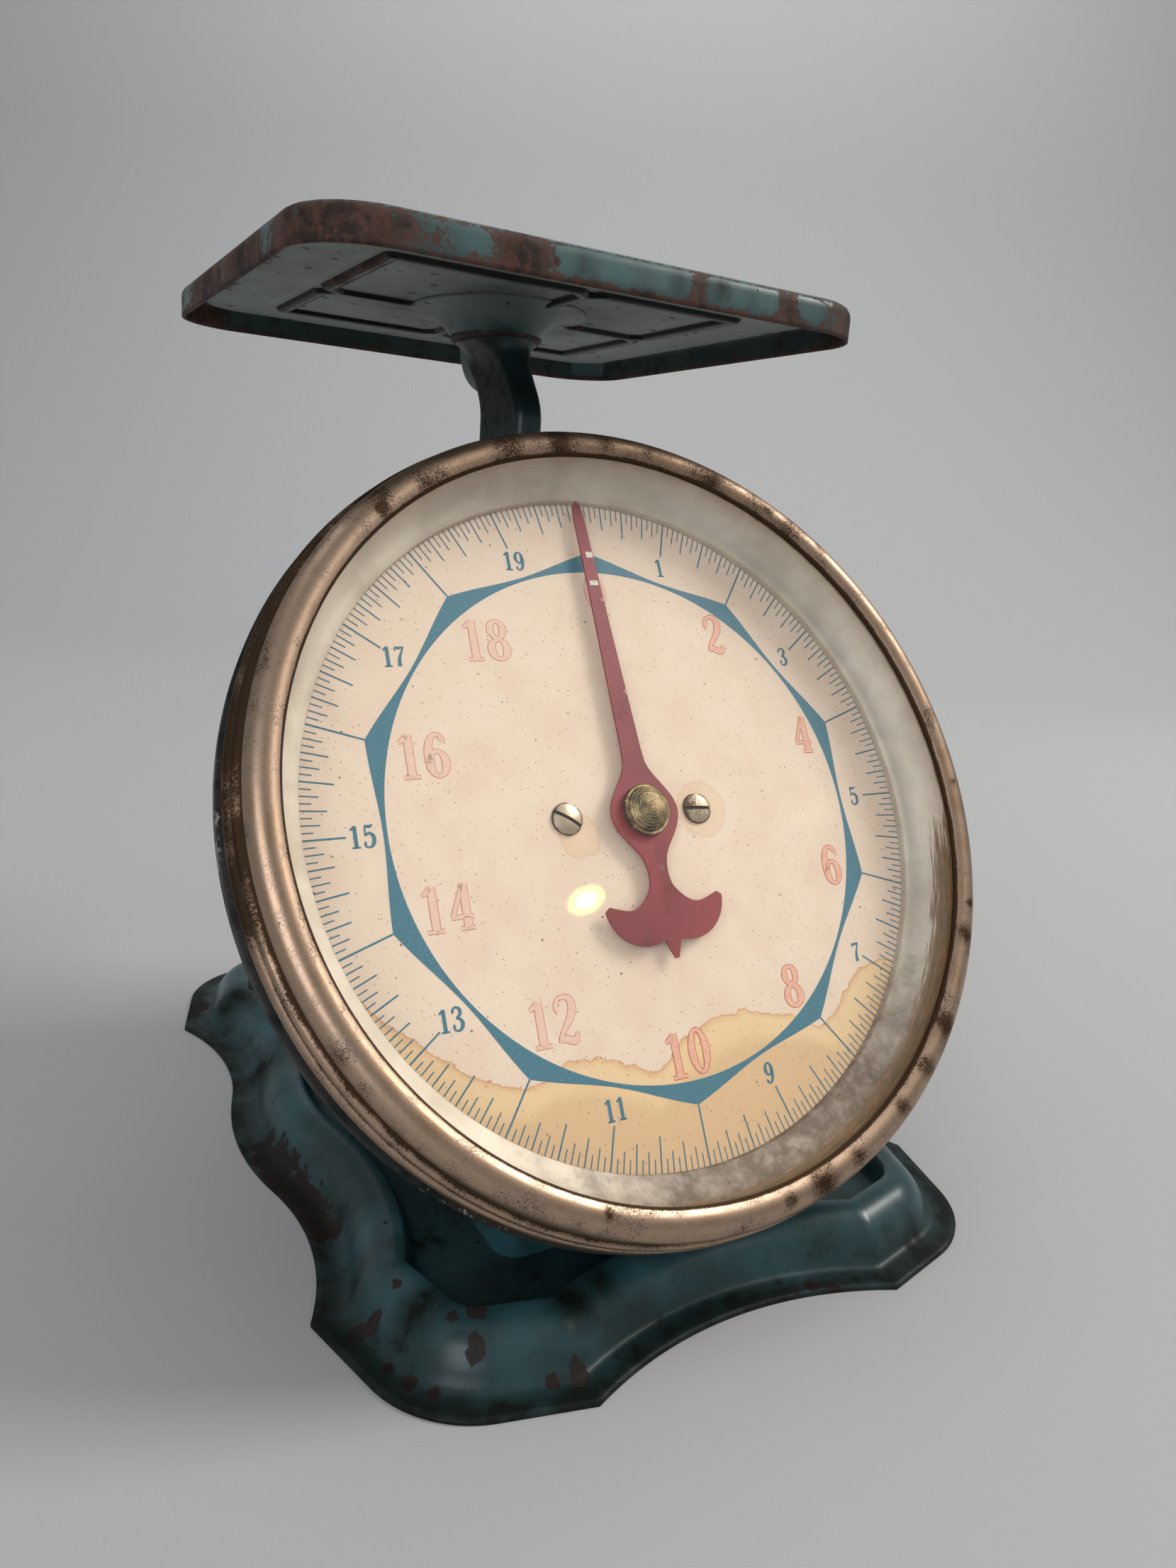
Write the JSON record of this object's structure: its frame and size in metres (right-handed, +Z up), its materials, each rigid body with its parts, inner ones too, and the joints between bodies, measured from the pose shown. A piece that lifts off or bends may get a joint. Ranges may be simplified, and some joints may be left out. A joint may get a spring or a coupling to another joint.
{
  "type": "household spring scale with a slanted dial",
  "caption": "Counter spring scale: square platform on an arm above a slanted round dial, sheet metal body on a scalloped base.",
  "frame": {"origin": "under the middle of the whole scale, on the bench", "axes": "+Z up, -Y towards the reader of the dial, +X to the reader's right"},
  "size_m": [0.2, 0.2416, 0.2317],
  "materials": {
    "base_enamel": "satin enamel, worn and chipped to rust on the ridges",
    "body_enamel": "satin enamel",
    "tray_enamel": "satin enamel, chipped at the rim",
    "arm_enamel": "dark gloss enamel",
    "bezel_brass": "worn nickel plate over brass",
    "ring_plate": "dull plated ring with stains",
    "dial_face": "printed face, aged",
    "window_glass": "clear",
    "hand_red": "dull red enamel",
    "bright_brass": "dull",
    "screw_steel": "worn",
    "frame_steel": "zinc plated",
    "pin_steel": "ground",
    "spring_steel": "oiled"
  },
  "bodies": {
    "stand": {"base": "base_enamel", "foot_screws": "screw_steel", "body_wrap": "body_enamel", "body_top": "body_enamel", "back_cover": "body_enamel", "cover_screws": "screw_steel", "dial_pan": "body_enamel", "pan_rivets": "screw_steel", "dial_posts": "bright_brass", "dial_plate": "dial_face", "dial_screws": "screw_steel", "dial_retainer": "ring_plate", "glass": "window_glass", "bezel": "bezel_brass", "front_bush": "bright_brass", "bearing_cock": "frame_steel", "rear_bush": "bright_brass", "frame_left": "frame_steel", "frame_right": "frame_steel", "frame_screws": "screw_steel", "spring_bridge": "frame_steel", "upper_stay_rod": "pin_steel", "lower_stay_rod": "pin_steel", "spring_left": "spring_steel", "spring_right": "spring_steel"},
    "hand": {"pointer_arbor": "pin_steel", "pinion": "bright_brass", "arbor_collar": "bright_brass", "pointer_seat": "bright_brass", "pointer": "hand_red", "hub_nut": "bright_brass"},
    "load_carriage": {"crossbar": "frame_steel", "carriage_rivets": "screw_steel", "rack": "frame_steel", "rack_bracket": "frame_steel", "arm": "arm_enamel", "arm_gusset": "arm_enamel", "upper_check_pin": "pin_steel", "lower_check_pin": "pin_steel", "tray_boss": "tray_enamel", "tray": "tray_enamel", "tray_rivets": "screw_steel"},
    "upper_check": {"upper_stay": "frame_steel"},
    "lower_check": {"lower_stay": "frame_steel"},
    "zero_knob": {"zero_screw": "screw_steel"},
    "spring_hanger": {"spring_yoke": "frame_steel"}
  },
  "joints": [
    {"name": "platform_slide", "type": "slide", "parent": "stand", "child": "load_carriage", "axis": [0, 0, -1], "range_m": [0, 0.02539], "stiffness_N_per_m": 3502, "springref_m": -0.002, "deforming": ["spring_left", "spring_right"]},
    {"name": "pointer_spin", "type": "hinge", "parent": "stand", "child": "hand", "pos_m": [0, -0.05485, 0.1015], "axis": [0, 0.866, -0.5], "range_deg": [0, 360]},
    {"name": "upper_check_swing", "type": "hinge", "parent": "stand", "child": "upper_check", "pos_m": [0, -0.01385, 0.1373], "axis": [-1, 0, 0], "range_deg": [0, 38.9]},
    {"name": "lower_check_swing", "type": "hinge", "parent": "stand", "child": "lower_check", "pos_m": [0, -0.01385, 0.0493], "axis": [-1, 0, 0], "range_deg": [0, 38.9]},
    {"name": "zero_screw_turn", "type": "hinge", "parent": "stand", "child": "zero_knob", "pos_m": [0, 0.00715, 0.153], "axis": [0, 0, 1], "range_deg": [-360, 360]},
    {"name": "yoke_slide", "type": "slide", "parent": "stand", "child": "spring_hanger", "axis": [0, 0, 1], "range_m": [-0.0008, 0.0008]}
  ],
  "couplings": [
    {"joint": "pointer_spin", "follows": "platform_slide", "rad_per_m": 247.4},
    {"joint": "upper_check_swing", "follows": "platform_slide", "rad_per_m": 26.7},
    {"joint": "lower_check_swing", "follows": "platform_slide", "rad_per_m": 26.7},
    {"joint": "yoke_slide", "follows": "zero_screw_turn", "m_per_rad": 0.000127}
  ]
}
